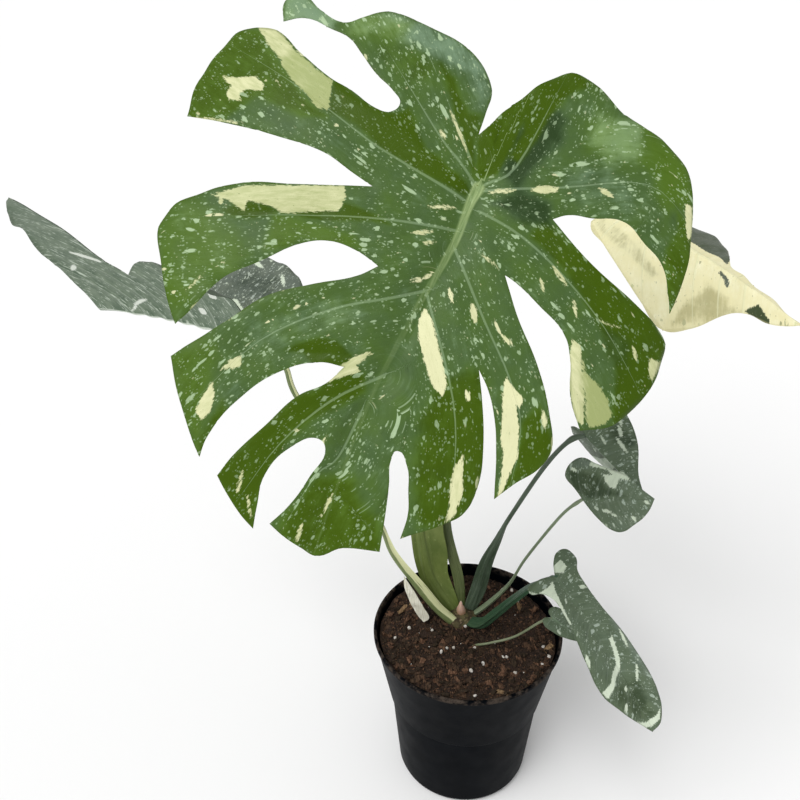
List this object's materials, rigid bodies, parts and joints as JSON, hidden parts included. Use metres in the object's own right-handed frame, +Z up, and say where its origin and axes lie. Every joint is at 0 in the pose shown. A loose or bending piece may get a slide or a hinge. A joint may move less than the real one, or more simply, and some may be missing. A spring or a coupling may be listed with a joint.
{
  "type": "potted monstera plant",
  "caption": "Variegated split-leaf monstera in a black nursery pot: one large lobed leaf facing front and smaller leaves behind it and at the right, on arching stalks",
  "frame": {"origin": "the middle of the pot's flat base", "axes": "+Z up, +Y to the back, +X to the right as seen from the side that the large leaf faces"},
  "size_m": [0.6157, 0.3649, 0.6966],
  "materials": {
    "pot": "satin",
    "soil": "matte",
    "crown": "matte",
    "growing_tip": "matte",
    "dry_sheath": "matte",
    "stalk": "satin",
    "striped_stalk": "satin",
    "green_blade": "satin",
    "grey_blade": "satin",
    "cream_blade": "satin"
  },
  "bodies": {
    "root": {"pot": "pot", "soil": "soil", "crown": "crown", "growing_tip": "growing_tip", "papery_sheath": "dry_sheath", "main_petiole": "stalk", "left_petiole": "striped_stalk", "cream_petiole": "stalk", "hanging_petiole": "stalk", "small_petiole": "stalk", "low_petiole": "stalk", "tucked_petiole": "stalk", "main_blade": "green_blade", "left_blade": "grey_blade", "cream_blade": "cream_blade", "hanging_blade": "grey_blade", "small_blade": "grey_blade", "low_blade": "grey_blade", "tucked_blade": "grey_blade"}
  },
  "joints": []
}
